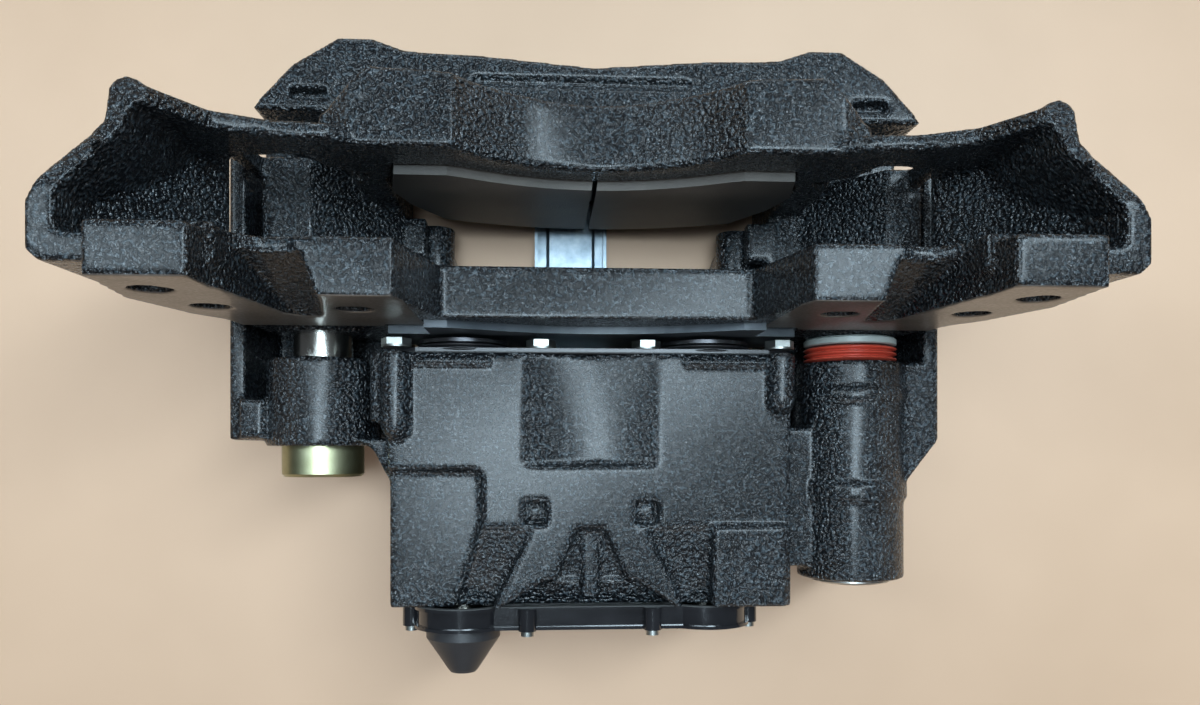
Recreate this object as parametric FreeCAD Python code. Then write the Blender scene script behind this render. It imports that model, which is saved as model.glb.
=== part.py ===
"""Twin-tappet sliding air disc brake caliper on its carrier, with pads.

Millimetres. +X across the brake, +Y outboard, +Z towards the hub. Y = 0 is the machined
mounting face of the carrier, X = 0 the symmetry plane, Z = 0 the level of the outer bolts.
"""

import FreeCAD
import Part
import math
import os

# Rotor that the brake is made for
AXIS_Z = 12.0
PAD_OUTER_R = 187.0
SLOT_IN = 24.5
SLOT_OUT = 73.0

# Carrier
BEAM_Z = -65.0
BEAM_BACK_Z = -93.5
COLUMN_X = 104.3
COLUMN_BOTTOM_Z = -168.0
WALL_OUT = 80.0
BAR_OUT = 88.0
BOLT_R = 8.25
BOLT_XZ = [(178.0, 0.0), (169.5, -41.5), (109.5, -46.0)]

# Guides
GUIDE_X = 142.0
GUIDE_Z = -126.0
SLEEVE_R = 15.0
TUBE_R = 27.5

# Caliper casting
FLOOR_Z = -205.0
SLAB_TOP_Z = -172.0
HOUSING_LEFT = -103.5
HOUSING_RIGHT = 101.0
HOUSING_TOP_Z = -95.0
CEILING_Z = -109.0
FRONT_Y = -13.0
REAR_Y = -142.0
REACTION_Y = 95.7
SIDE_X = 186.0

# Mechanism
TAPPET_LEFT = -68.0
TAPPET_RIGHT = 60.0
TAPPETS = (TAPPET_LEFT, TAPPET_RIGHT)
TAPPET_Z = -120.0
SHAFT_R = 4.5
RUN = 0.05
PAD_REAR_Y = -3.5
BACKING_T = 8.0
FRICTION_T = 18.5
STUD_X = 60.325
PORT_Z = -172.0
FLANGE_Y = REAR_Y - 1.5
PIVOT_Z = -125.0
COVER_Y = REAR_Y - 12.0

REACTION_EDGE = [(172, 104), (166, 113), (150, 130), (128, 143.5), (111, 143.5), (95, 138), (55, 136.5)]
REACTION_EDGE.append((0, 132))

AXIS_X = FreeCAD.Vector(1, 0, 0)
AXIS_Y = FreeCAD.Vector(0, 1, 0)
AXIS_UP = FreeCAD.Vector(0, 0, 1)


def vec(x, y, z):
    return FreeCAD.Vector(x, y, z)


def box(x0, x1, y0, y1, z0, z1):
    return Part.makeBox(x1 - x0, y1 - y0, z1 - z0, vec(x0, y0, z0))


def cyl_y(x, z, r, y0, y1):
    return Part.makeCylinder(r, y1 - y0, vec(x, y0, z), AXIS_Y)


def cyl_x(y, z, r, x0, x1):
    return Part.makeCylinder(r, x1 - x0, vec(x0, y, z), AXIS_X)


def cyl_z(x, y, r, z0, z1):
    return Part.makeCylinder(r, z1 - z0, vec(x, y, z0), AXIS_UP)


def ring_y(x, z, r_out, r_in, y0, y1):
    return cyl_y(x, z, r_out, y0, y1).cut(cyl_y(x, z, r_in, y0 - 1, y1 + 1))


def turned_y(x, z, profile):
    """Solid of revolution about the Y line through (x, z); profile is a list of (r, y)."""
    points = [vec(x + r, y, z) for r, y in profile]
    face = Part.Face(Part.makePolygon(points + points[:1]))
    return face.revolve(vec(x, 0, z), AXIS_Y, 360)


def prism_y(points, y0, y1):
    """Prism along Y over a polygon of (x, z)."""
    loop = [vec(x, y0, z) for x, z in points]
    return Part.Face(Part.makePolygon(loop + loop[:1])).extrude(vec(0, y1 - y0, 0))


def prism_z(points, z0, z1):
    """Prism along Z over a polygon of (x, y)."""
    loop = [vec(x, y, z0) for x, y in points]
    return Part.Face(Part.makePolygon(loop + loop[:1])).extrude(vec(0, 0, z1 - z0))


def prism_x(points, x0, x1):
    """Prism along X over a polygon of (y, z)."""
    loop = [vec(x0, y, z) for y, z in points]
    return Part.Face(Part.makePolygon(loop + loop[:1])).extrude(vec(x1 - x0, 0, 0))


def mirrored(points):
    """Closed outline from its right half."""
    return points + [(-x, v) for x, v in reversed(points)]


def flip(shape):
    return shape.mirror(vec(0, 0, 0), AXIS_X)


def both(shape):
    return [shape, flip(shape)]


def merged(shape):
    """The shape with its coplanar faces joined, where that leaves it whole."""
    joined = shape.copy().removeSplitter()
    if joined.isNull() or not joined.isValid():
        return shape
    return joined


def fuse(shapes):
    whole = shapes[0]
    for shape in shapes[1:]:
        whole = whole.fuse(shape)
    return merged(whole)


def cut(shape, tools):
    for tool in tools:
        shape = shape.cut(tool)
    return merged(shape)


def hex_y(x, z, across, y0, y1):
    r = across / math.sqrt(3)
    points = [(x + r * math.cos(math.pi * k / 3), z + r * math.sin(math.pi * k / 3)) for k in range(6)]
    return prism_y(points, y0, y1)


def stadium_y(z, r, y0, y1):
    ends = [cyl_y(x, z, r, y0, y1) for x in TAPPETS]
    return fuse(ends + [box(TAPPET_LEFT, TAPPET_RIGHT, y0, y1, z - r, z + r)])


# Carrier ---------------------------------------------------------------------------------


def pad_outline(half_x, shoulder_z, inner_z, grow):
    """Pad outline seen along Y: hollow inner edge, tapered ends, outer edge on the rotor arc."""
    side = [(half_x + grow, shoulder_z + grow), (half_x + 5 + grow, -102), (half_x - 1 + grow, -127)]
    outer = []
    for k in range(9):
        x = (81 + grow) * (1 - k / 8.0)
        outer.append((x, AXIS_Z - math.sqrt((PAD_OUTER_R + grow) ** 2 - x * x)))
    near = []
    for k in range(8):
        x = 70 * k / 8.0
        near.append((x, inner_z + (shoulder_z - inner_z) * (k / 8.0) ** 2 + grow))
    near.append((72, shoulder_z + grow))
    right = near + side + outer
    return right + [(-x, z) for x, z in reversed(right) if x > 0]


def backing_outline(grow):
    """Backing plate: narrow towards the hub, then wide where it bears on the columns."""
    g = grow
    side = [(72, -75 + g), (83 + g, -75 + g), (83 + g, -99 + g), (COLUMN_X - 0.6 + g, -99 + g)]
    side.append((COLUMN_X - 0.6 + g, -138))
    outer = []
    for k in range(10):
        x = (100 + g) * (1 - k / 9.0)
        outer.append((x, AXIS_Z - math.sqrt((PAD_OUTER_R + g) ** 2 - x * x)))
    near = [(70 * k / 8.0, -95 + 20 * (k / 8.0) ** 2 + g) for k in range(8)]
    right = near + side + outer
    return right + [(-x, z) for x, z in reversed(right) if x > 0]


def carrier_plate():
    right = [(74, BEAM_Z), (87, -9), (125.5, -9), (129, -12), (140, -12), (148, -6), (152.5, 6), (153.5, 29)]
    right += [(190, 29), (191, 21), (197, -21), (187, -62), (177, -81), (174, -118), (172, -150)]
    right += [(166, COLUMN_BOTTOM_Z), (COLUMN_X, COLUMN_BOTTOM_Z), (COLUMN_X, BEAM_BACK_Z)]
    plate = prism_y(mirrored(right), 0, SLOT_IN)
    web = [(117, 45), (117, -10), (129, -68), (135, -73), (143, -60), (150, -4), (151, 45)]
    facet = prism_y(web, -1, SLOT_IN).common(prism_z([(117, -1), (151, -1), (149, 18), (124, 18)], -76, 45))
    facet = facet.common(prism_x([(-1, -74), (18, -12), (18, 45), (-1, 45)], 110, 160))
    tools = both(facet)
    tools += both(box(153, 200, 20.5, SLOT_IN + 1, -24, 40))
    tools += both(box(100, 190, -1, 1, -172, -99))
    return cut(plate, tools)


def carrier_tie_bar(crest):
    """Bar over the rotor's edge that joins the two sides, with the outboard pad abutment."""
    bar = crest + [(COLUMN_X, -156), (COLUMN_X, COLUMN_BOTTOM_Z), (166, COLUMN_BOTTOM_Z), (172, -150)]
    lug = [(COLUMN_X, -98), (122, -98), (122, -166), (COLUMN_X, -166)]
    strip = [(169, -48), (181, -48), (175, -112), (172, -150), (169, -150)]
    parts = [prism_y(bar, 2, BAR_OUT), prism_y(lug, SLOT_OUT, 97), prism_y(strip, WALL_OUT - 1, BAR_OUT)]
    parts.append(box(COLUMN_X, 126, WALL_OUT - 1, BAR_OUT, COLUMN_BOTTOM_Z, -48))
    parts.append(box(COLUMN_X, 112, SLOT_OUT, 97, -108, -50))
    return fuse(parts + [box(92, 109, 47, 69, -165.5, -155)])


def carrier_wing(inner_x):
    """Thin-walled end that wraps round the rotor's edge, open towards the hub."""
    plan = [(150, 8.5), (214, 8.5), (219, 13), (219, 31), (214.5, 40), (195, 63), (194, 65), (194, 79)]
    plan += [(192, 82), (188, 83.5), (184, 82.5), (181, WALL_OUT), (150, WALL_OUT)]
    outer = [(120, 12), (219, 12), (218, -20), (206, -62), (193, -88), (inner_x, -82), (inner_x, -62)]
    outer.append((120, -62))
    shell = prism_z(plan, -90, 12).common(prism_y(outer, 0, 90))
    room = [(120, SLOT_IN), (186, SLOT_IN), (190, 19.5), (206, 19.5), (210, 23), (210, 31), (206, 38)]
    room += [(187.5, 61), (186, 68), (183, SLOT_OUT - 0.5), (120, SLOT_OUT - 0.5)]
    inner = [(100, 40), (210, 40), (207, -15), (190, -50), (inner_x, -77), (inner_x, -100), (100, -100)]
    shell = shell.cut(prism_z(room, -100, 40).common(prism_y(inner, 0, 90)))
    slope = prism_x([(38, 12), (90, -7), (90, 40), (38, 40)], 196, 230)
    slope = slope.fuse(prism_x([(55, 6), (90, -3), (90, 40), (55, 40)], 140, 197))
    brow = prism_y([(181, 1), (165, -25), (143, -35), (90, -38), (90, 40), (181, 40)], 60, 90)
    return shell.cut([slope, brow])


def carrier_outboard_beam():
    half = [(112, -44), (120, -47), (136, -58), (130, -80), (COLUMN_X, BEAM_BACK_Z - 2)]
    block = prism_y(mirrored(half), SLOT_OUT, 110)
    edge = [(60, 106), (104, 108), (128, 84), (137, WALL_OUT), (137, SLOT_OUT)]
    block = block.common(prism_z([(0, 104.7)] + edge + [(-x, y) for x, y in reversed(edge)], -120, 0))
    brow = [(100, -50), (120, -37), (143, -35), (165, -25), (181, -10), (178, -62), (112, -62), (100, -70)]
    wings = both(prism_y(brow, SLOT_OUT, WALL_OUT))
    return fuse([cut(block, [cyl_y(0, AXIS_Z, 87, 60, 130)])] + wings)


def carrier():
    left_crest = [(170, -112), (166, -110), (145, -110), (108, -150)]
    right_crest = [(176.5, -113), (176, -110), (157, -110), (122, -150)]
    solids = [carrier_plate(), carrier_outboard_beam(), flip(carrier_tie_bar(left_crest))]
    solids += [carrier_tie_bar(right_crest)] + [flip(carrier_wing(175.5)), carrier_wing(168)]
    for x in (GUIDE_X, -GUIDE_X):
        solids.append(cyl_y(x, GUIDE_Z, 23.5, -1.5, 3))
    body = fuse(solids)
    tools = [prism_y(backing_outline(0.5), -5, 4.6), prism_y(backing_outline(0.5), SLOT_OUT - 1, 120)]
    tools.append(prism_y(pad_outline(97, -74, -95, 0.8), 4.5, 120))
    for x in (GUIDE_X, -GUIDE_X):
        tools.append(cyl_y(x, GUIDE_Z, 8.05, -2, 36))
    for x, z in BOLT_XZ:
        for side in (x, -x):
            tools.append(cyl_y(side, z, BOLT_R, -1, SLOT_IN + 1))
    return cut(body, tools)


# Guides ----------------------------------------------------------------------------------


def guide_sleeve(x, end):
    body = cyl_y(x, GUIDE_Z, SLEEVE_R, end, -1.5)
    return cut(body, [cyl_y(x, GUIDE_Z, 8.2, end - 1, 0), cyl_y(x, GUIDE_Z, 12.3, end - 1, end + 14)])


def guide_bolt(x, end):
    head = cyl_y(x, GUIDE_Z, 12, end + 2, end + 14)
    shank = cyl_y(x, GUIDE_Z, 8, end + 13, 33)
    return cut(fuse([head, shank]), [hex_y(x, GUIDE_Z, 12, end, end + 9)])


def short_guide_bush():
    return ring_y(-GUIDE_X, GUIDE_Z, 22, SLEEVE_R + RUN, -55, -16)


def short_guide_cap():
    profile = [(0, -76), (19.5, -76), (21, -74.5), (21, -60), (19.6, -60), (19.6, -74), (0, -74)]
    return turned_y(-GUIDE_X, GUIDE_Z, profile)


def long_guide_bushes():
    bushes = [ring_y(GUIDE_X, GUIDE_Z, 18.5, SLEEVE_R + RUN, y, y + 26) for y in (-46, -119)]
    return Part.makeCompound(bushes)


def long_guide_cap():
    profile = [(0, -134), (17, -134), (18, -133), (21, -133), (21.5, -132.5), (21.5, -131), (18.4, -131)]
    profile += [(18.4, -127), (17, -127), (17, -130), (0, -130)]
    return turned_y(GUIDE_X, GUIDE_Z, profile)


def long_guide_boot_ring():
    profile = [(15.1, -1.6), (23.5, -1.6), (24.6, -2.6), (24.6, -5.2), (23, -5.8), (15.1, -5.8)]
    return turned_y(GUIDE_X, GUIDE_Z, profile)


def long_guide_boot():
    outer = [(21.5, -6.2)]
    for k in range(3):
        y = -6.6 - 2.7 * k
        outer += [(24.2, y - 0.3), (24.8, y - 1.2), (24.0, y - 2.1), (22.4, y - 2.5)]
    outer[-1] = (22.4, -14.6)
    inner = [(r - 1.6, y) for r, y in reversed(outer)]
    return turned_y(GUIDE_X, GUIDE_Z, outer + inner)


# Caliper casting ---------------------------------------------------------------------------


def caliper_housing():
    solids = [box(HOUSING_LEFT, HOUSING_RIGHT, REAR_Y, FRONT_Y, FLOOR_Z, HOUSING_TOP_Z)]
    for x, z, r, end in ((-99.5, -95, 7, -50), (95.5, -95, 7, -37), (-109, -100, 4, -50)):
        solids.append(cyl_y(x, z, r, end, FRONT_Y))
        solids.append(Part.makeSphere(r, vec(x, end, z)))
    solids.append(prism_z([(-122, -56), (-100, -56), (-100, -84), (-106, -74), (-112, -62)], -150, -104))
    solids.append(box(98, 124, -124, -50, -150, -112))
    solids += [box(-90, -53, -19, -16, -97, HOUSING_TOP_Z + 1.8), box(46, 88, -19, -16, -97, -93.2)]
    solids.append(box(58, 98, REAR_Y, -101, -100, HOUSING_TOP_Z + 2.5))
    solids.append(box(-82, 82, FLANGE_Y, REAR_Y + 1, FLOOR_Z, -149))
    return fuse(solids)


def rib_cuts():
    """Hollows that leave the near face with its scoop, step, pockets and fan of ribs."""
    tools = [cyl_y(-2, HOUSING_TOP_Z - 7 + 90, 90, -70, FRONT_Y + 1)]
    tools.append(Part.makeSphere(26, vec(-2, -51, -76)))
    for x in (-30, 27):
        pad = box(x - 3, x + 3, -97.5, -90.5, -102, -97)
        tools.append(box(x - 6, x + 6, -100, -88, -101, -90).cut(pad))
    step = [(-110, -72), (-60, -72), (-57, -76), (-57, -100), (-71, -143), (-110, -143)]
    tools.append(prism_z(step, -102, -90))
    tools.append(sloped([(-57, -101), (-31, -101), (-52, -143), (-71, -143)], -101, -96, -108))
    tools.append(sloped([(26, -101), (60, -101), (60, -143), (46, -143)], -101, -96, -107))
    tools.append(sloped([(-9, -102), (5, -102), (17, -129), (-20, -129)], -102, -100, -106))
    tools.append(sloped([(-50, -143), (-24, -128), (21, -128), (43, -143)], -127, -101, -110))
    spine = box(-6, 2, -137, -101, -112, -99.5)
    return [tool.cut(spine) for tool in tools]


def sloped(points, start, z0, z1):
    """Pocket over a polygon, whose floor falls from z0 at Y = start to z1 at the rear face."""
    wedge = prism_x([(start, z0), (REAR_Y - 1, z1), (REAR_Y - 1, -85), (start, -85)], -110, 110)
    return prism_z(points, -115, -88).common(wedge)


def caliper_cavity():
    """Room for the lever, crossbeam and spindles, open at the front."""
    rooms = [box(-88, 86, -116, FRONT_Y + 1, -150, CEILING_Z), box(-40, 40, -116, FRONT_Y + 1, -188, -149)]
    for x in TAPPETS:
        rooms.append(cyl_y(x, TAPPET_Z, 18.5, -64, FRONT_Y + 1))
        rooms.append(cyl_y(x, TAPPET_Z, 6.0 + RUN, REAR_Y - 1, -115))
    rooms.append(cyl_y(0, PORT_Z, 18, FLANGE_Y - 1, -115))
    return rooms


def lever_saddles():
    blocks = [box(x - 9, x + 9, -117, -99, -144, CEILING_Z + 0.5) for x in (-35, 35)]
    return [block.cut(cyl_x(-98, PIVOT_Z, 15.5 + RUN, -60, 60)) for block in blocks]


def guide_tube(x, end):
    solids = [cyl_y(x, GUIDE_Z, TUBE_R, end, -15)]
    step = 1.0 if x > 0 else -1.0
    web = [(x - step * 20, -180), (x - step * 24, GUIDE_Z), (x + step * 20, GUIDE_Z), (x + step * 30, -180)]
    solids.append(prism_y(web, end + 2, -16))
    return solids


def caliper_slab():
    """Bridge over the rotor, with its side walls and the outboard reaction beam."""
    plan = [(SIDE_X, -56), (SIDE_X, 112), (178, 117), (161, 118.5)] + REACTION_EDGE[2:]
    base = prism_z(plan + [(-x, y) for x, y in reversed(plan[:-1])], FLOOR_Z, SLAB_TOP_Z)
    walls = both(prism_x([(-56, -205), (-56, -112), (92, -112), (94, -205)], 178, SIDE_X))
    webs = both(box(150, SIDE_X, -57, -50, -205, -112))
    tail = [(0, REACTION_Y), (102, REACTION_Y), (102, 116.5), (124.5, 116.5), (124.5, 107)]
    edge = [(170, 107)] + REACTION_EDGE[1:]
    outline = edge + [(-x, y) for x, y in reversed(edge[:-1])]
    outline += [(-x, y) for x, y in reversed(tail)] + tail[1:]
    return [base, prism_z(outline, SLAB_TOP_Z - 2, -96.5)] + walls + webs


def right_fin():
    """Side fin beside the long tube, with its slanted foot."""
    fin = prism_z([(160, -1), (SIDE_X, -1), (SIDE_X, -57), (168, -80), (160, -80)], -205, -112)
    pocket = prism_z([(150, 10), (178, 10), (178, -15), (150, -15)], -160, -100)
    return fin.cut(pocket)


def caliper_body():
    solids = [caliper_housing()] + caliper_slab() + guide_tube(-GUIDE_X, -56) + guide_tube(GUIDE_X, -131)
    solids.append(cyl_y(GUIDE_X, GUIDE_Z, TUBE_R + 0.8, -131, -15))
    solids.append(cyl_y(-GUIDE_X, GUIDE_Z, TUBE_R + 1, -60, -15))
    solids.append(cyl_y(GUIDE_X, GUIDE_Z, TUBE_R + 2.4, -36, -30))
    solids.append(cyl_y(GUIDE_X, GUIDE_Z, TUBE_R + 2.6, -88, -80))
    solids.append(right_fin())
    solids.append(box(-180, -168, -56, -36, -205, -108))
    body = cut(fuse(solids), [box(-106, 106, FRONT_Y, REACTION_Y, FLOOR_Z - 1, -60)])
    bumps = []
    for side in (1, -1):
        lip = cyl_y(side * 89.5, -178, 11.5, 24, 68)
        bumps += [cyl_z(side * 104, 46, 26, FLOOR_Z, -178), lip.common(box(-110, 110, 20, 75, FLOOR_Z, -160))]
    body = fuse([body] + bumps)
    tools = caliper_cavity() + rib_cuts()
    tools += [box(50, 120, -118, -72, FLOOR_Z - 1, -153), box(-120, -50, -118, -72, FLOOR_Z - 1, -153)]
    tools += [cyl_y(-GUIDE_X, GUIDE_Z, 22, -61, -14), cyl_y(GUIDE_X, GUIDE_Z, 18.5, -132, -14)]
    for x in (STUD_X, -STUD_X):
        tools.append(cyl_y(x, PORT_Z, 8.5, FLANGE_Y - 1, -117))
    tools += retainer_grooves()
    for side in (1, -1):
        tools.append(box(side * 143 - 9, side * 143 + 9, 113, 118, -104, -96))
    tools.append(box(-62, 50, 121.5, 126, -99, -96))
    return fuse([cut(body, tools)] + lever_saddles())


def retainer_grooves():
    """Recesses on the outer side for the pad retainer, its pin and its clip."""
    grooves = [box(-34, 16, -40, 0, FLOOR_Z - 1, -193), box(-34, 16, REACTION_Y - 1, 122, FLOOR_Z - 1, -191)]
    grooves += [cyl_x(112, -199, 4.06, -55, 60), box(-55, 60, 107.94, 116.06, FLOOR_Z - 1, -199)]
    grooves += [box(-56, -41, 103, 121, FLOOR_Z - 1, -190), box(26.5, 34, 104, 120, FLOOR_Z - 1, -191)]
    return grooves


# Closing plate and tappets -------------------------------------------------------------------


def plate_outline(y0, y1):
    right = [(90, -97), (100, -103), (92, -110), (100, -150), (60, -160), (46, -193)]
    return prism_y(mirrored(right), y0, y1)


def closing_plate():
    holes = [cyl_y(x, TAPPET_Z, 21.5, -15, -8) for x in TAPPETS]
    return cut(plate_outline(-12.4, -10.6), holes)


def closing_plate_gasket():
    room = [box(-89, 87, -15, -12, -151, -108), box(-41, 41, -15, -12, -189, -150)]
    room += [cyl_y(x, TAPPET_Z, 20, -15, -12) for x in TAPPETS]
    return cut(plate_outline(FRONT_Y, -12.4), room)


def closing_plate_bolts():
    bolts = []
    for x, z in ((95.5, -98), (27, -102), (-27, -102), (-99.5, -98), (94, -146), (-94, -146)):
        bolts.append(fuse([hex_y(x, z, 13, -9.6, -6.2), cyl_y(x, z, 7.4, -10.6, -9.5)]))
    return Part.makeCompound(bolts)


def tappet(x):
    stem = fuse([cyl_y(x, TAPPET_Z, 16, -54, -7), cyl_y(x, TAPPET_Z, 23.3, -7.3, -5.5)])
    return cut(stem, [cyl_y(x, TAPPET_Z, 11 + RUN, -55, -13)])


def tappet_boot(x):
    outer = [(21.3, -12.4), (21.3, -10.5), (24.2, -10.2), (24.6, -9.6), (23.4, -9), (24.6, -8.4)]
    return turned_y(x, TAPPET_Z, outer + [(24.2, -7.8), (22, -7.6), (19.4, -7.6), (19.4, -12.4)])


def spindle(x):
    body = [cyl_y(x, TAPPET_Z, 11, -58, -16), cyl_y(x, TAPPET_Z, 15, -61.9, -57)]
    body.append(cyl_y(x, TAPPET_Z, 9, -92, -61))
    return cut(fuse(body), [cyl_y(x, TAPPET_Z, SHAFT_R + RUN, -93, -15)])


def crossbeam():
    half = [(60, -111), (78, -113), (85, -120), (78, -131), (30, -134)]
    bar = prism_y(mirrored(half), -84.8, -62)
    return cut(bar, [cyl_y(x, TAPPET_Z, 9 + RUN, -90, -60) for x in TAPPETS])


def lever():
    journals = [cyl_x(-98, PIVOT_Z, 13, -46, 46), cyl_x(-98, PIVOT_Z - 4.3, 13, -24, 24)]
    arm = prism_x([(-106, -128), (-90, -128), (-97, -178), (-108, -178)], -11, 11)
    return cut(fuse(journals + [arm]), [Part.makeSphere(9, vec(0, -111, PORT_Z))])


def bearing_shells():
    shells = []
    for x in (-35, 35):
        shell = cyl_x(-98, PIVOT_Z, 15.5, x - 9, x + 9).cut(cyl_x(-98, PIVOT_Z, 13 + RUN, x - 10, x + 10))
        shells.append(shell.common(box(-60, 60, -120, -99, -144, -104)))
    return Part.makeCompound(shells)


def return_spring():
    """Coil between the closing plate and the crossbeam."""
    pitch = 5.65
    coils = [Part.makeTorus(9.5, 1.4, vec(0, -59.8 + pitch * k, -122.5), AXIS_Y) for k in range(9)]
    for k in range(8):
        y = -59.8 + pitch * k
        if k % 2:
            coils.append(box(-1.3, 1.3, y, y + pitch, -133.3, -130.7))
        else:
            coils.append(box(-10.8, -8.2, y, y + pitch, -123.8, -121.2))
    return fuse(coils)


# Adjuster -----------------------------------------------------------------------------------


def sprocket(x):
    wheel = cyl_y(x, TAPPET_Z, 12.6, -150, -145.5)
    notches = []
    for k in range(12):
        a = 2 * math.pi * k / 12
        notches.append(cyl_y(x + 13 * math.cos(a), TAPPET_Z + 13 * math.sin(a), 2.1, -151, -145))
    return wheel.cut(notches)


def adjuster_shaft(x):
    solids = [cyl_y(x, TAPPET_Z, SHAFT_R, -146, -32), cyl_y(x, TAPPET_Z, 6, -146, -114), sprocket(x)]
    if x < 0:
        solids += [cyl_y(x, TAPPET_Z, 10, -114.5, -95), hex_y(x, TAPPET_Z, 8, -162, -149)]
    return fuse(solids)


def chain():
    return cut(stadium_y(TAPPET_Z, 15.6, -149.6, -146), [stadium_y(TAPPET_Z, 13, -151, -145)])


def cover_outline(grow, y0, y1):
    """Two round lobes over the sprockets, joined by a narrower band."""
    half = 19.2 + grow
    band = box(TAPPET_LEFT, TAPPET_RIGHT, y0, y1, TAPPET_Z - half, TAPPET_Z + half)
    lobes = [cyl_y(x, TAPPET_Z, r + grow, y0, y1) for x, r in ((TAPPET_LEFT, 26), (TAPPET_RIGHT, 24))]
    return fuse(lobes + [band])


def adjuster_cover():
    solids = [cover_outline(0, REAR_Y - 2.2, REAR_Y - 0.6), cover_outline(0, COVER_Y, COVER_Y + 1.6)]
    solids.append(cover_outline(-1.6, COVER_Y + 0.5, REAR_Y - 1))
    for x, z in cover_screw_places():
        solids.append(cyl_y(x, z, 4.6, COVER_Y, REAR_Y - 0.6))
    room = cover_outline(-3, COVER_Y + 2, REAR_Y)
    return cut(fuse(solids), [room, cyl_y(TAPPET_LEFT, TAPPET_Z, 11, COVER_Y - 1, COVER_Y + 3)])


def cover_screw_places():
    return [(x, TAPPET_Z + rise) for x in (-34, 30) for rise in (20, -20)] + [(-95, TAPPET_Z), (84, TAPPET_Z)]


def adjuster_cover_gasket():
    return cut(cover_outline(-0.2, REAR_Y - 0.6, REAR_Y), [cover_outline(-3, REAR_Y - 1, REAR_Y + 1)])


def adjuster_cover_screws():
    return Part.makeCompound([cyl_y(x, z, 3.2, COVER_Y - 2.6, COVER_Y) for x, z in cover_screw_places()])


def adjuster_cap():
    profile = [(19.3, COVER_Y), (19.3, -160), (17.6, -162.5), (8, -177), (6.8, -178.5), (0, -178.5)]
    profile += [(0, -175.5), (5.4, -175.5), (13.5, -162), (13.5, COVER_Y)]
    return turned_y(TAPPET_LEFT, TAPPET_Z, profile)


# Pads and their retainer --------------------------------------------------------------------


def groove(y0, y1):
    return prism_z([(-1.6, y0), (0.9, y0), (3.0, y1), (0.5, y1)], -190, -60)


def friction(y0, y1, outboard):
    block = prism_y(pad_outline(97, -74, -95, 0), y0, y1)
    slot = groove(y0 - 0.1, y1 - 1.5) if outboard else groove(y0 + 1.5, y1 + 0.1)
    return cut(block, [slot])


def backing(y0):
    return prism_y(backing_outline(0), y0, y0 + BACKING_T)


def pad_spring(y0):
    """Sprung leaf over the outer edge of the backing plate."""
    top = [(66, -163.5), (60, -166.3), (40, -178), (16, -190.5)]
    line = mirrored(top)
    leaf = []
    for (x0, z0), (x1, z1) in zip(line[:-1], line[1:]):
        leaf.append(prism_y([(x0, z0), (x1, z1), (x1, z1 - 1.6), (x0, z0 - 1.6)], y0, y0 + BACKING_T))
    return fuse(leaf)


def pad_retainer():
    hat = [(-31, -194.5), (-29, -194.5), (-29, -199), (-24, -199), (-22, -196.5), (4, -196.5), (6, -199)]
    hat += [(11, -199), (11, -194.5), (13, -194.5), (13, -201), (5, -201), (3, -198.5), (-21, -198.5)]
    hat += [(-23, -201), (-31, -201)]
    strap = prism_y(hat, -38, 104)
    eye = cyl_x(112, -199, 7, -26, 8).cut(cyl_x(112, -199, 4.3, -30, 12))
    tongue = box(-26, 8, 103, 107.5, -201, -198.6)
    return fuse([strap, eye.common(box(-40, 20, 100, 120, -204.9, -190)), tongue])


def pad_retainer_pin():
    return fuse([cyl_x(112, -199, 4, -52, 27), cyl_x(112, -199, 5.5, 27, 30)])


def pad_retainer_clip():
    loop = Part.makeTorus(6, 0.9, vec(-48, 112, -199), AXIS_X)
    return loop


# Files ---------------------------------------------------------------------------------------

REAR_OUT = SLOT_OUT - 4.0
NODES = {
    "carrier": carrier(),
    "short_guide_sleeve": guide_sleeve(-GUIDE_X, -58),
    "short_guide_bolt": guide_bolt(-GUIDE_X, -58),
    "long_guide_sleeve": guide_sleeve(GUIDE_X, -118),
    "long_guide_bolt": guide_bolt(GUIDE_X, -118),
    "long_guide_boot_ring": long_guide_boot_ring(),
    "caliper_body": caliper_body(),
    "short_guide_bush": short_guide_bush(),
    "short_guide_cap": short_guide_cap(),
    "long_guide_bushes": long_guide_bushes(),
    "long_guide_cap": long_guide_cap(),
    "long_guide_boot": long_guide_boot(),
    "closing_plate": closing_plate(),
    "closing_plate_gasket": closing_plate_gasket(),
    "closing_plate_bolts": closing_plate_bolts(),
    "tappet_left": tappet(TAPPET_LEFT),
    "tappet_right": tappet(TAPPET_RIGHT),
    "tappet_boot_left": tappet_boot(TAPPET_LEFT),
    "tappet_boot_right": tappet_boot(TAPPET_RIGHT),
    "spindle_left": spindle(TAPPET_LEFT),
    "spindle_right": spindle(TAPPET_RIGHT),
    "crossbeam": crossbeam(),
    "lever": lever(),
    "lever_bearing_shells": bearing_shells(),
    "return_spring": return_spring(),
    "adjuster_shaft": adjuster_shaft(TAPPET_LEFT),
    "follower_shaft": adjuster_shaft(TAPPET_RIGHT),
    "adjuster_chain": chain(),
    "adjuster_cover": adjuster_cover(),
    "adjuster_cover_gasket": adjuster_cover_gasket(),
    "adjuster_cover_screws": adjuster_cover_screws(),
    "adjuster_cap": adjuster_cap(),
    "inboard_backing": backing(PAD_REAR_Y),
    "inboard_friction": friction(PAD_REAR_Y + BACKING_T, PAD_REAR_Y + BACKING_T + FRICTION_T, False),
    "inboard_pad_spring": pad_spring(PAD_REAR_Y),
    "outboard_backing": backing(REAR_OUT + FRICTION_T),
    "outboard_friction": friction(REAR_OUT, REAR_OUT + FRICTION_T, True),
    "outboard_pad_spring": pad_spring(REAR_OUT + FRICTION_T),
    "pad_retainer": pad_retainer(),
    "pad_retainer_pin": pad_retainer_pin(),
    "pad_retainer_clip": pad_retainer_clip(),
}

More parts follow.
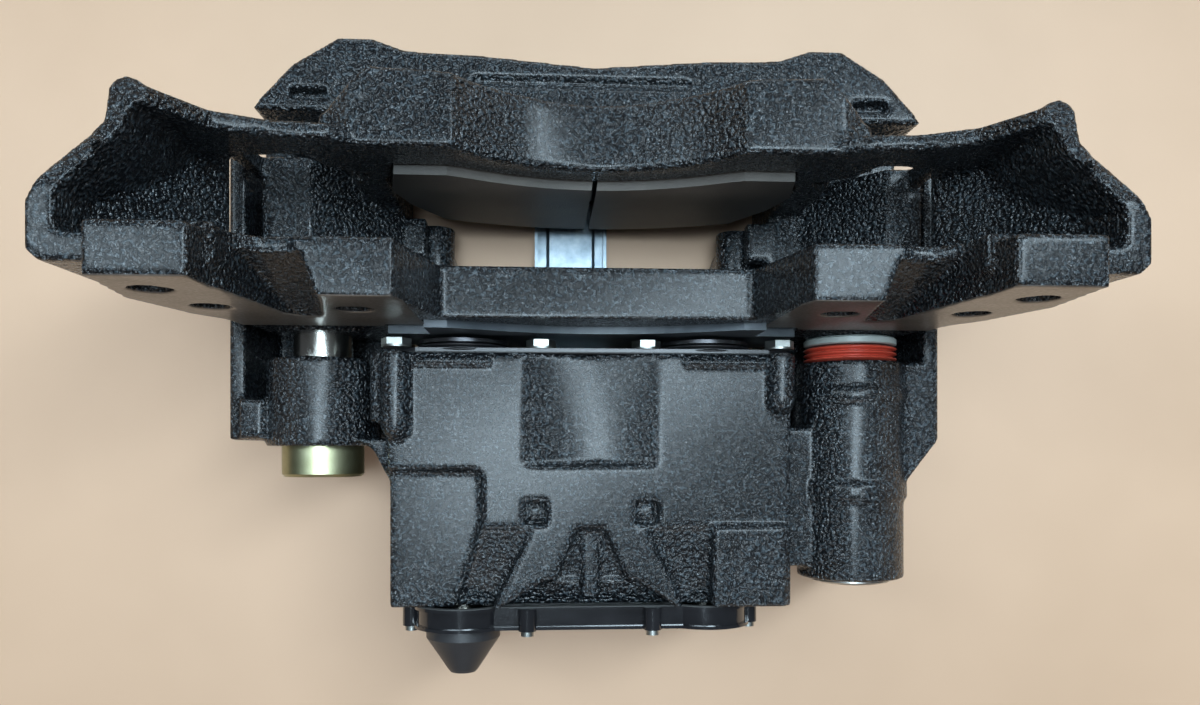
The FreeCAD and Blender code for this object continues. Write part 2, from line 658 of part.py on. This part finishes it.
os.makedirs("parts", exist_ok=True)
for name, shape in NODES.items():
    if not shape.isValid():
        print("not valid:", name)
    if len(shape.Solids) != 1:
        print(name, "has", len(shape.Solids), "solids")
    shape.exportStep("parts/" + name + ".step")
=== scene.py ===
import bpy
import math

from mathutils import Matrix, Vector


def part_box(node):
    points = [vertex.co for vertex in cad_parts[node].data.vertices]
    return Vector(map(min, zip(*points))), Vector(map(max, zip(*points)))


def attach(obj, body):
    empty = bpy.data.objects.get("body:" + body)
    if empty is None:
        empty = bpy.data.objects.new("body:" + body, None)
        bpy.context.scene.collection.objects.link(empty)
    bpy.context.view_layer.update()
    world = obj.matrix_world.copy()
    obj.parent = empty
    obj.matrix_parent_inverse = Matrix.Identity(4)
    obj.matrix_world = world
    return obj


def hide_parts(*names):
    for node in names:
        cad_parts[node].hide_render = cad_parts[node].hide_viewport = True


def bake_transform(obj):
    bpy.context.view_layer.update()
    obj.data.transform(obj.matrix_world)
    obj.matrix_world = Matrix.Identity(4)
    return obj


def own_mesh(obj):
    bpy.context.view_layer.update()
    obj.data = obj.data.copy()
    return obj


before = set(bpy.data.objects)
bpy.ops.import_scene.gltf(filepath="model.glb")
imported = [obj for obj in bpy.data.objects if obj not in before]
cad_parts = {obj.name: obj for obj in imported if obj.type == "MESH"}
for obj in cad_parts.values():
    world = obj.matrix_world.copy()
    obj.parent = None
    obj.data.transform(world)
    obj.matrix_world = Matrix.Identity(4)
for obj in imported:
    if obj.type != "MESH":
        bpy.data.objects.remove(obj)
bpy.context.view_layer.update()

# Castings: remesh grid and how much each skin is rounded and thinned
VOXEL = 0.0013
CARRIER_ROUNDING = 6
CALIPER_ROUNDING = 3
CARRIER_KEEP = 0.5
CALIPER_KEEP = 0.45

# Machined faces of the carrier: bare below MACHINED_Y, on the hub side, outboard of the pads
MACHINED_Y = 0.0006
MACHINED_LOW_Z = -0.1
MACHINED_INNER_X = 0.0845

# Bellows: radius at the root and crest of a fold, number of folds, rubber thickness
GUIDE_BELLOWS = (0.0214, 0.0248, 3, 0.0012)
TAPPET_BELLOWS = (0.0208, 0.0246, 2, 0.0013)
BELLOWS_SIDES = 72
FOLD_STEPS = 8

# Return spring: wire radius, turns, and closed share of a turn at each end
WIRE = 0.0014
WIRE_SIDES = 10
SPRING_TURNS = 8.5
TURN_STEPS = 28
DEAD_TURN = 0.75

# Floor: just under the lowest piece
FLOOR_Z = -0.2061
FLOOR_HALF = 4.0

# Camera: place, its own right and backward directions, lens in mm, and rise in picture widths
CAMERA_PLACE = (-0.0265, -0.0621, 0.360)
CAMERA_SIDE = (0.99795, 0.0, 0.064)
CAMERA_BACK = (-0.064, 0.0, 0.99795)
SENSOR_WIDTH = 36.0
LENS = 27.06
RISE = 0.08125


# ---------------------------------------------------------------- materials

def new_material(name):
    mat = bpy.data.materials.new(name)
    mat.use_nodes = True
    tree = mat.node_tree
    tree.nodes.clear()
    out = tree.nodes.new("ShaderNodeOutputMaterial")
    bsdf = tree.nodes.new("ShaderNodeBsdfPrincipled")
    tree.links.new(bsdf.outputs[0], out.inputs[0])
    return mat, tree, bsdf


def coords(tree, scale=(1, 1, 1)):
    tc = tree.nodes.new("ShaderNodeTexCoord")
    mp = tree.nodes.new("ShaderNodeMapping")
    mp.inputs["Scale"].default_value = scale
    tree.links.new(tc.outputs["Object"], mp.inputs["Vector"])
    return mp.outputs["Vector"]


def noise(tree, vector, scale, detail=3.0, rough=0.55):
    tex = tree.nodes.new("ShaderNodeTexNoise")
    tex.inputs["Scale"].default_value = scale
    tex.inputs["Detail"].default_value = detail
    tex.inputs["Roughness"].default_value = rough
    tree.links.new(vector, tex.inputs["Vector"])
    return tex.outputs["Fac"]


def ramp(tree, fac, stops):
    cr = tree.nodes.new("ShaderNodeValToRGB")
    el = cr.color_ramp.elements
    el[0].position, el[0].color = stops[0][0], (*stops[0][1], 1)
    el[1].position, el[1].color = stops[-1][0], (*stops[-1][1], 1)
    for pos, col in stops[1:-1]:
        made = el.new(pos)
        made.color = (*col, 1)
    tree.links.new(fac, cr.inputs["Fac"])
    return cr.outputs["Color"]


def bump(tree, height, strength, distance, normal=None):
    bp = tree.nodes.new("ShaderNodeBump")
    bp.inputs["Strength"].default_value = strength
    bp.inputs["Distance"].default_value = distance
    tree.links.new(height, bp.inputs["Height"])
    if normal is not None:
        tree.links.new(normal, bp.inputs["Normal"])
    return bp.outputs["Normal"]


def math_node(tree, op, a, b=None, c=None, clamp=False):
    made = tree.nodes.new("ShaderNodeMath")
    made.operation = op
    made.use_clamp = clamp
    for slot, value in zip(made.inputs, (a, b, c)):
        if value is None:
            continue
        if isinstance(value, (int, float)):
            slot.default_value = value
        else:
            tree.links.new(value, slot)
    return made.outputs[0]


def mix_color(tree, fac, a, b):
    mx = tree.nodes.new("ShaderNodeMix")
    mx.data_type = "RGBA"
    for slot, value in ((mx.inputs[0], fac), (mx.inputs[6], a), (mx.inputs[7], b)):
        if isinstance(value, tuple):
            slot.default_value = (*value, 1)
        elif isinstance(value, (int, float)):
            slot.default_value = value
        else:
            tree.links.new(value, slot)
    return mx.outputs[2]


def cast_paint(name, grain, machined=False, base=(0.0035, 0.0039, 0.0048), rough=0.25):
    """Gloss black paint over a coarse cast skin, with painted highlights: a lighter colour painted where the
    fine grain peaks stands in for sparkles of light. Machined areas are bare iron.
    """
    mat, tree, bsdf = new_material(name)
    vec = coords(tree)
    fine = noise(tree, vec, 620, 1.0, 0.5)
    broad = noise(tree, vec, 60, 2.0)
    patch = noise(tree, vec, 18, 3.0)
    pebble = tree.nodes.new("ShaderNodeTexVoronoi")
    pebble.feature = "SMOOTH_F1"
    pebble.inputs["Scale"].default_value = 470
    tree.links.new(vec, pebble.inputs["Vector"])
    cover = math_node(tree, "MULTIPLY_ADD", patch, 0.8, 0.2, clamp=True)
    height = math_node(tree, "ADD", fine, math_node(tree, "MULTIPLY", pebble.outputs["Distance"], -0.55))
    height = math_node(tree, "MULTIPLY", height, math_node(tree, "MULTIPLY_ADD", cover, 0.45, 0.55))
    worn = ramp(tree, broad, [(0.35, base), (0.75, tuple(c * 1.8 for c in base))])
    # Painted highlight: where the fine grain peaks, the base colour is mixed towards the lighter crest colour
    # below, standing in for sparkles of light.
    painted_glint_mask = ramp(tree, fine, [(0.5, (0, 0, 0)), (0.66, (1, 1, 1))])
    crest = ramp(tree, broad, [(0.3, (0.022, 0.029, 0.035)), (0.7, (0.04, 0.052, 0.061))])
    painted = mix_color(tree, painted_glint_mask, worn, crest)
    roughness = math_node(tree, "MULTIPLY_ADD", fine, 0.3, rough - 0.15)
    normal_fine = bump(tree, height, grain, 0.0034)
    normal = bump(tree, broad, 0.25, 0.0012, normal_fine)
    if machined:
        tc = tree.nodes.new("ShaderNodeTexCoord")
        split = tree.nodes.new("ShaderNodeSeparateXYZ")
        tree.links.new(tc.outputs["Object"], split.inputs[0])
        geo = tree.nodes.new("ShaderNodeNewGeometry")
        facing = tree.nodes.new("ShaderNodeSeparateXYZ")
        tree.links.new(geo.outputs["Normal"], facing.inputs[0])
        level = math_node(tree, "LESS_THAN", split.outputs["Y"], MACHINED_Y)
        inward = math_node(tree, "LESS_THAN", facing.outputs["Y"], -0.55)
        high = math_node(tree, "GREATER_THAN", split.outputs["Z"], MACHINED_LOW_Z)
        across = math_node(tree, "ABSOLUTE", split.outputs["X"])
        wide = math_node(tree, "GREATER_THAN", across, MACHINED_INNER_X)
        face = math_node(tree, "MULTIPLY", level, inward)
        bare = math_node(tree, "MULTIPLY", face, math_node(tree, "MULTIPLY", high, wide))
        stain_stops = [(0.3, (0.09, 0.08, 0.07)), (0.55, (0.18, 0.165, 0.15)), (0.8, (0.1, 0.075, 0.055))]
        stain = ramp(tree, patch, stain_stops)
        color = mix_color(tree, bare, painted, stain)
        metal = math_node(tree, "MULTIPLY", bare, 0.7)
        roughness = math_node(tree, "MULTIPLY_ADD", bare, 0.2, roughness)
        tree.links.new(color, bsdf.inputs["Base Color"])
        tree.links.new(metal, bsdf.inputs["Metallic"])
        strength = math_node(tree, "MULTIPLY_ADD", bare, -grain * 0.92, grain)
        tree.links.new(strength, normal_fine.node.inputs["Strength"])
    else:
        tree.links.new(painted, bsdf.inputs["Base Color"])
    tree.links.new(roughness, bsdf.inputs["Roughness"])
    tree.links.new(normal, bsdf.inputs["Normal"])
    bsdf.inputs["Coat Weight"].default_value = 0.25
    bsdf.inputs["Coat Roughness"].default_value = 0.2
    return mat


def plain(name, dark, light, metallic=0.0, rough=0.4, spread=0.12, scale=40, grain=0.1, grain_scale=900,
          stretch=(1, 1, 1), coat=0.0):
    """An even finish that wanders between two colours, with a fine grain."""
    mat, tree, bsdf = new_material(name)
    vec = coords(tree, stretch)
    broad = noise(tree, vec, scale, 4.0)
    fine = noise(tree, vec, grain_scale, 2.0)
    tree.links.new(ramp(tree, broad, [(0.3, dark), (0.7, light)]), bsdf.inputs["Base Color"])
    roughness = math_node(tree, "MULTIPLY_ADD", broad, spread, rough - spread / 2)
    tree.links.new(roughness, bsdf.inputs["Roughness"])
    tree.links.new(bump(tree, fine, grain, 0.0004), bsdf.inputs["Normal"])
    bsdf.inputs["Metallic"].default_value = metallic
    bsdf.inputs["Coat Weight"].default_value = coat
    return mat


CARRIER = cast_paint("carrier_paint", 1.0, machined=True)
CALIPER = cast_paint("caliper_paint", 0.9)
STEEL = plain("ground_steel", (0.36, 0.35, 0.32), (0.55, 0.54, 0.5), 1.0, 0.26, stretch=(1, 0.05, 1))
ZINC = plain("zinc_bolt", (0.2, 0.21, 0.2), (0.36, 0.37, 0.35), 1.0, 0.38)
YELLOW = plain("yellow_zinc", (0.3, 0.3, 0.17), (0.44, 0.44, 0.28), 1.0, 0.36, scale=60)
CAP = plain("cap_steel", (0.4, 0.4, 0.38), (0.6, 0.6, 0.58), 1.0, 0.3)
GREY = plain("grey_ring", (0.36, 0.42, 0.41), (0.46, 0.52, 0.5), 0.0, 0.4)
RED = plain("red_silicone", (0.5, 0.055, 0.03), (0.66, 0.1, 0.06), 0.0, 0.36)
RUBBER = plain("black_rubber", (0.012, 0.012, 0.014), (0.022, 0.022, 0.024), 0.0, 0.42, grain=0.2)
DARK = plain("dark_steel", (0.05, 0.05, 0.055), (0.1, 0.1, 0.105), 0.9, 0.35)
BRASS = plain("bush_brass", (0.5, 0.34, 0.12), (0.65, 0.48, 0.2), 1.0, 0.3)
GASKET = plain("gasket", (0.02, 0.02, 0.02), (0.035, 0.035, 0.035), 0.0, 0.7)
SPRING = plain("spring_steel", (0.12, 0.12, 0.125), (0.24, 0.24, 0.24), 1.0, 0.32)
PLATE = plain("plate_black", (0.012, 0.012, 0.014), (0.03, 0.03, 0.032), 0.3, 0.3)
COVER = plain("cover_black", (0.006, 0.006, 0.007), (0.012, 0.012, 0.014), 0.0, 0.14, coat=0.6)
BACKING = plain("backing_steel", (0.035, 0.045, 0.055), (0.07, 0.085, 0.1), 0.2, 0.42)
FRICTION = plain("friction", (0.06, 0.055, 0.05), (0.105, 0.095, 0.085), 0.05, 0.62, scale=25, grain=0.5,
                 grain_scale=1500)
GALV = plain("galvanised", (0.15, 0.19, 0.22), (0.3, 0.35, 0.39), 0.9, 0.36, scale=120, grain=0.12)

LOOKS = {
    "short_guide_sleeve": STEEL, "long_guide_sleeve": STEEL,
    "short_guide_bolt": ZINC, "long_guide_bolt": ZINC,
    "long_guide_boot_ring": GREY, "short_guide_bush": RUBBER, "short_guide_cap": YELLOW,
    "long_guide_bushes": BRASS, "long_guide_cap": CAP, "long_guide_boot": RED, "closing_plate": PLATE,
    "closing_plate_gasket": GASKET, "closing_plate_bolts": ZINC, "tappet_left": DARK, "tappet_right": DARK,
    "tappet_boot_left": RUBBER, "tappet_boot_right": RUBBER, "spindle_left": STEEL, "spindle_right": STEEL,
    "crossbeam": DARK, "lever": DARK, "lever_bearing_shells": BRASS, "return_spring": SPRING,
    "adjuster_shaft": STEEL, "follower_shaft": STEEL, "adjuster_chain": SPRING, "adjuster_cover": COVER,
    "adjuster_cover_gasket": GASKET, "adjuster_cover_screws": ZINC, "adjuster_cap": RUBBER,
    "inboard_backing": BACKING, "inboard_friction": FRICTION, "inboard_pad_spring": SPRING,
    "outboard_backing": BACKING, "outboard_friction": FRICTION, "outboard_pad_spring": SPRING,
    "pad_retainer": GALV, "pad_retainer_pin": ZINC, "pad_retainer_clip": SPRING,
    "carrier": CARRIER, "caliper_body": CALIPER,
}


def paint(obj, mat):
    obj.data.materials.clear()
    obj.data.materials.append(mat)


for name, mat in LOOKS.items():
    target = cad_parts[name]
    for slot in target.material_slots:
        slot.material = mat


# ---------------------------------------------------------------- castings

def copy_of(name, new_name):
    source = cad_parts[name]
    made = bpy.data.objects.new(new_name, source.data.copy())
    bpy.context.scene.collection.objects.link(made)
    made.matrix_world = source.matrix_world.copy()
    return made


def apply_all(obj):
    bpy.context.view_layer.update()
    graph = bpy.context.evaluated_depsgraph_get()
    mesh = bpy.data.meshes.new_from_object(obj.evaluated_get(graph))
    old = obj.data
    obj.modifiers.clear()
    obj.data = mesh
    bpy.data.meshes.remove(old)


def cast_skin(name, new_name, mat, passes, keep):
    """The casting with its edges rounded as they come out of the mould."""
    made = copy_of(name, new_name)
    weld = made.modifiers.new("weld", "WELD")
    weld.merge_threshold = 0.00001
    remesh = made.modifiers.new("remesh", "REMESH")
    remesh.mode = "VOXEL"
    remesh.voxel_size = VOXEL
    smooth = made.modifiers.new("smooth", "SMOOTH")
    smooth.factor = 0.5
    smooth.iterations = passes
    thin = made.modifiers.new("thin", "DECIMATE")
    thin.ratio = keep
    apply_all(made)
    for poly in made.data.polygons:
        poly.use_smooth = True
    paint(made, mat)
    return made


carrier_skin = cast_skin("carrier", "carrier_casting", CARRIER, CARRIER_ROUNDING, CARRIER_KEEP)
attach(carrier_skin, "carrier")
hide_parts("carrier")
caliper_skin = cast_skin("caliper_body", "caliper_casting", CALIPER, CALIPER_ROUNDING, CALIPER_KEEP)
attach(caliper_skin, "caliper")
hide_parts("caliper_body")


# ---------------------------------------------------------------- bellows and spring

def mesh_object(name, points, faces, mat):
    mesh = bpy.data.meshes.new(name)
    mesh.from_pydata(points, [], faces)
    mesh.update()
    for poly in mesh.polygons:
        poly.use_smooth = True
    made = bpy.data.objects.new(name, mesh)
    bpy.context.scene.collection.objects.link(made)
    paint(made, mat)
    return made


def ring_mesh(name, rings, count, mat, closed):
    """Skin over equal rings of points; closed joins the last ring to the first, else the ends are capped."""
    faces = []
    spans = len(rings) if closed else len(rings) - 1
    for r in range(spans):
        base, after = r * count, (r + 1) % len(rings) * count
        for k in range(count):
            n = (k + 1) % count
            faces.append((base + k, base + n, after + n, after + k))
    if not closed:
        faces.append(tuple(reversed(range(count))))
        last = (len(rings) - 1) * count
        faces.append(tuple(last + k for k in range(count)))
    return mesh_object(name, [p for ring in rings for p in ring], faces, mat)


def bellows(name, centre, y_fixed, y_free, shape, mat):
    """Rubber bellows about an axis along Y, its folds evenly spaced from y_fixed to y_free."""
    root, crest, folds, wall = shape
    steps = folds * FOLD_STEPS
    depth = crest - root
    outer = []
    for k in range(steps + 1):
        wave = (0.5 - 0.5 * math.cos(2 * math.pi * folds * k / steps)) ** 0.7
        outer.append((root + depth * wave, y_fixed + (y_free - y_fixed) * k / steps))
    profile = outer + [(r - wall, y) for r, y in reversed(outer)]
    rings = []
    for r, y in profile:
        ring = []
        for k in range(BELLOWS_SIDES):
            turn = 2 * math.pi * k / BELLOWS_SIDES
            ring.append((centre[0] + r * math.cos(turn), y, centre[1] + r * math.sin(turn)))
        rings.append(ring)
    return ring_mesh(name, rings, BELLOWS_SIDES, mat, True)


def coil(name, centre, y_start, y_end, radius, mat):
    """Wound wire spring about an axis along Y, its end turns nearly closed."""
    steps = int(SPRING_TURNS * TURN_STEPS)
    dead = DEAD_TURN / SPRING_TURNS
    rings = []
    for k in range(steps + 1):
        t = k / steps
        rise = min(max((t - dead) / (1 - 2 * dead), 0), 1)
        rise = rise + (t - rise) * 0.12
        turn = 2 * math.pi * SPRING_TURNS * t
        out = Vector((math.cos(turn), 0, math.sin(turn)))
        at = Vector((centre[0], y_start + (y_end - y_start) * rise, centre[1])) + out * radius
        ring = []
        for j in range(WIRE_SIDES):
            a = 2 * math.pi * j / WIRE_SIDES
            ring.append(tuple(at + out * WIRE * math.cos(a) + Vector((0, WIRE * math.sin(a), 0))))
        rings.append(ring)
    return ring_mesh(name, rings, WIRE_SIDES, mat, False)


def node_span(node):
    """Corners of a CAD node, and the x and z of the axis through its middle."""
    low, high = (Vector(v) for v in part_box(node))
    return low, high, ((low.x + high.x) / 2, (low.z + high.z) / 2)


def fit_bellows(name, node, shape, mat):
    """Bellows in place of a CAD boot, spanning the boot's length along Y."""
    low, high, axis = node_span(node)
    made = bellows(name, axis, low.y, high.y, shape, mat)
    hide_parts(node)
    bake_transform(made)


fit_bellows("long_guide_bellows", "long_guide_boot", GUIDE_BELLOWS, RED)
for hand in ("left", "right"):
    fit_bellows("tappet_bellows_" + hand, "tappet_boot_" + hand,
                TAPPET_BELLOWS, RUBBER)

spring_low, spring_high, spring_axis = node_span("return_spring")
spring_radius = (spring_high.x - spring_low.x) / 2 - WIRE
spring = coil("return_coil", spring_axis, spring_low.y + WIRE, spring_high.y - WIRE, spring_radius, SPRING)
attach(spring, "caliper")
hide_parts("return_spring")
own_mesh(spring)


# ---------------------------------------------------------------- stage, light and camera

def floor():
    mesh = bpy.data.meshes.new("floor")
    corners = [(x * FLOOR_HALF, y * FLOOR_HALF, FLOOR_Z) for x, y in ((-1, -1), (1, -1), (1, 1), (-1, 1))]
    mesh.from_pydata(corners, [], [(0, 1, 2, 3)])
    made = bpy.data.objects.new("floor", mesh)
    bpy.context.scene.collection.objects.link(made)
    board = plain("floor_board", (0.45, 0.292, 0.19), (0.53, 0.35, 0.235), 0.0, 0.55, scale=3,
                  grain=0.05, grain_scale=300)
    made.data.materials.append(board)


def area(name, place, aim, size, power, color=(1, 1, 1)):
    data = bpy.data.lights.new(name, "AREA")
    data.shape = "RECTANGLE"
    data.size, data.size_y = size
    data.energy = power
    data.color = color
    made = bpy.data.objects.new(name, data)
    made.location = place
    made.rotation_euler = (Vector(aim) - Vector(place)).to_track_quat("-Z", "Y").to_euler()
    bpy.context.scene.collection.objects.link(made)


floor()
area("strip_left", (-0.72, 0.25, 1.6), (-0.05, 0, -0.1), (0.3, 1.9), 22, (0.7, 0.88, 1.0))
area("strip_right", (0.44, 0.25, 1.6), (0.05, 0, -0.1), (0.3, 1.9), 48, (0.7, 0.88, 1.0))
area("far", (0.1, 1.7, 1.1), (0, 0, -0.1), (1.8, 0.5), 17, (0.74, 0.9, 1.0))
area("near", (-0.1, -1.6, 1.2), (0, 0, -0.1), (1.6, 0.5), 10, (1.0, 0.98, 0.96))

world = bpy.data.worlds.new("room")
bpy.context.scene.world = world
world.use_nodes = True
world.node_tree.nodes["Background"].inputs[0].default_value = (0.86, 0.92, 1.0, 1)
world.node_tree.nodes["Background"].inputs[1].default_value = 0.1

cam_data = bpy.data.cameras.new("camera")
cam_data.sensor_fit = "HORIZONTAL"
cam_data.sensor_width = SENSOR_WIDTH
cam_data.lens = LENS
cam_data.shift_y = RISE
cam_data.clip_start = 0.01
cam = bpy.data.objects.new("camera", cam_data)
bpy.context.scene.collection.objects.link(cam)
turn = Matrix((CAMERA_SIDE, (0, 1, 0), CAMERA_BACK)).transposed()
cam.matrix_world = Matrix.Translation(CAMERA_PLACE) @ turn.to_4x4()
bpy.context.scene.camera = cam
bpy.context.scene.view_settings.view_transform = "Standard"
